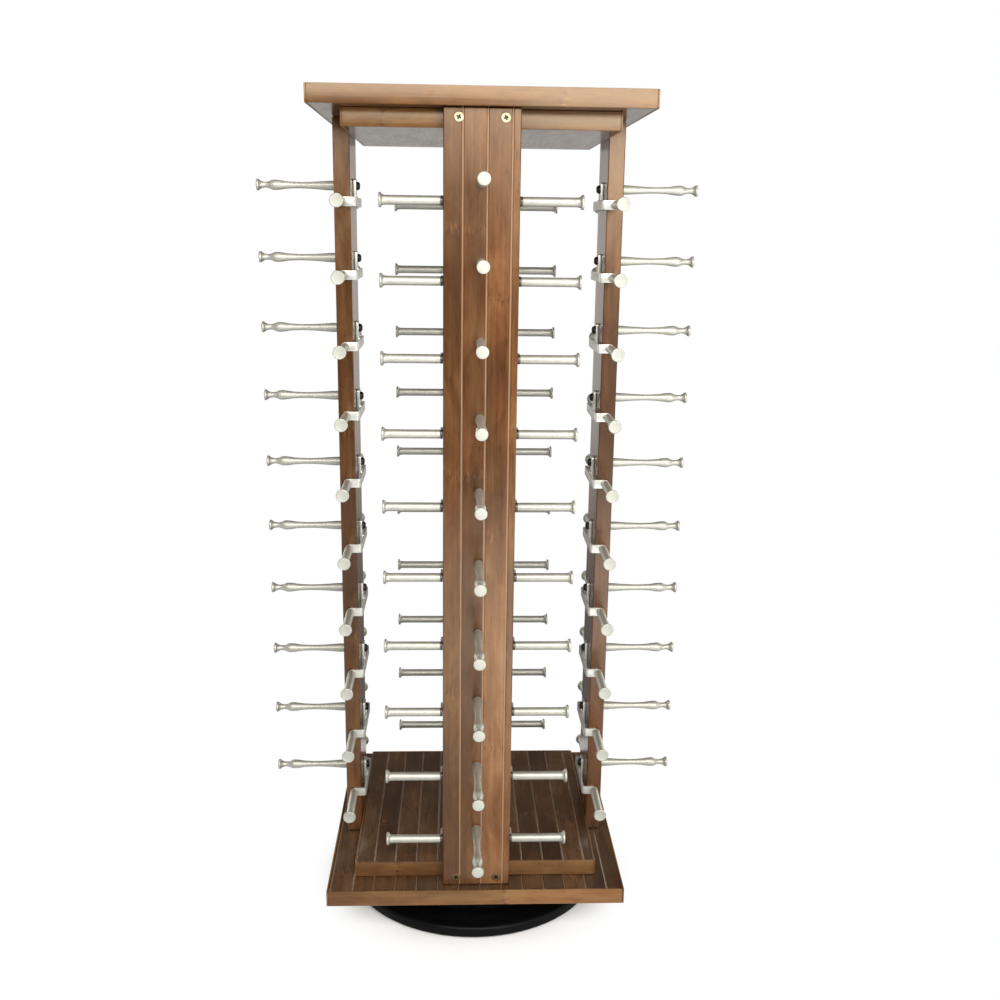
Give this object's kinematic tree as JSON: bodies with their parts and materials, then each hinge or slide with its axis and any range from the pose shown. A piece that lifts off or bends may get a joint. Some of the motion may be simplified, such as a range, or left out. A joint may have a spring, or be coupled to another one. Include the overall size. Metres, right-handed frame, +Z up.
{
  "type": "eyeglass display rack",
  "caption": "Square wooden countertop rack on a turntable: four uprights carry level upon level of metal pegs that hold glasses by nose and temples.",
  "frame": {"origin": "centre of the turntable axis on the plane the rubber feet rest on", "axes": "+Z up along the turntable axis, -Y towards the front column, +X towards the right column"},
  "size_m": [0.4096, 0.4096, 0.7784],
  "materials": {
    "column_wood": "satin lacquered, stained brown",
    "board_wood": "satin lacquered, stained brown",
    "black_plastic": "satin black moulding",
    "rubber": "matte",
    "bearing_steel": "ground",
    "zinc_steel": "zinc plated",
    "satin_aluminium": "satin"
  },
  "bodies": {
    "base": {"rubber_foot_1": "rubber", "rubber_foot_2": "rubber", "rubber_foot_3": "rubber", "rubber_foot_4": "rubber", "turntable_base": "black_plastic", "bearing_lower_race": "bearing_steel", "pivot_bolt": "zinc_steel", "pivot_nut": "zinc_steel"},
    "ball_cage": {"bearing_ball_cage": "bearing_steel"},
    "stand": {"turntable_dish": "black_plastic", "bearing_upper_race": "bearing_steel", "base_board": "board_wood", "base_block": "board_wood", "top_block": "board_wood", "top_board": "board_wood", "column_front": "column_wood", "column_right": "column_wood", "column_back": "column_wood", "column_left": "column_wood", "hanger_front_01": "satin_aluminium", "hanger_front_02": "satin_aluminium", "hanger_front_03": "satin_aluminium", "hanger_front_04": "satin_aluminium", "hanger_front_05": "satin_aluminium", "hanger_front_06": "satin_aluminium", "hanger_front_07": "satin_aluminium", "hanger_front_08": "satin_aluminium", "hanger_front_09": "satin_aluminium", "hanger_front_10": "satin_aluminium", "hanger_right_01": "satin_aluminium", "hanger_right_02": "satin_aluminium", "hanger_right_03": "satin_aluminium", "hanger_right_04": "satin_aluminium", "hanger_right_05": "satin_aluminium", "hanger_right_06": "satin_aluminium", "hanger_right_07": "satin_aluminium", "hanger_right_08": "satin_aluminium", "hanger_right_09": "satin_aluminium", "hanger_right_10": "satin_aluminium", "hanger_back_01": "satin_aluminium", "hanger_back_02": "satin_aluminium", "hanger_back_03": "satin_aluminium", "hanger_back_04": "satin_aluminium", "hanger_back_05": "satin_aluminium", "hanger_back_06": "satin_aluminium", "hanger_back_07": "satin_aluminium", "hanger_back_08": "satin_aluminium", "hanger_back_09": "satin_aluminium", "hanger_back_10": "satin_aluminium", "hanger_left_01": "satin_aluminium", "hanger_left_02": "satin_aluminium", "hanger_left_03": "satin_aluminium", "hanger_left_04": "satin_aluminium", "hanger_left_05": "satin_aluminium", "hanger_left_06": "satin_aluminium", "hanger_left_07": "satin_aluminium", "hanger_left_08": "satin_aluminium", "hanger_left_09": "satin_aluminium", "hanger_left_10": "satin_aluminium"}
  },
  "joints": [
    {"name": "turntable_spin", "type": "hinge", "parent": "base", "child": "stand", "pos_m": [0, 0, 0.028], "axis": [0, 0, 1], "continuous": true},
    {"name": "cage_spin", "type": "hinge", "parent": "base", "child": "ball_cage", "pos_m": [0, 0, 0.028], "axis": [0, 0, 1], "continuous": true}
  ],
  "couplings": [
    {"joint": "cage_spin", "follows": "turntable_spin", "ratio": 0.5}
  ]
}
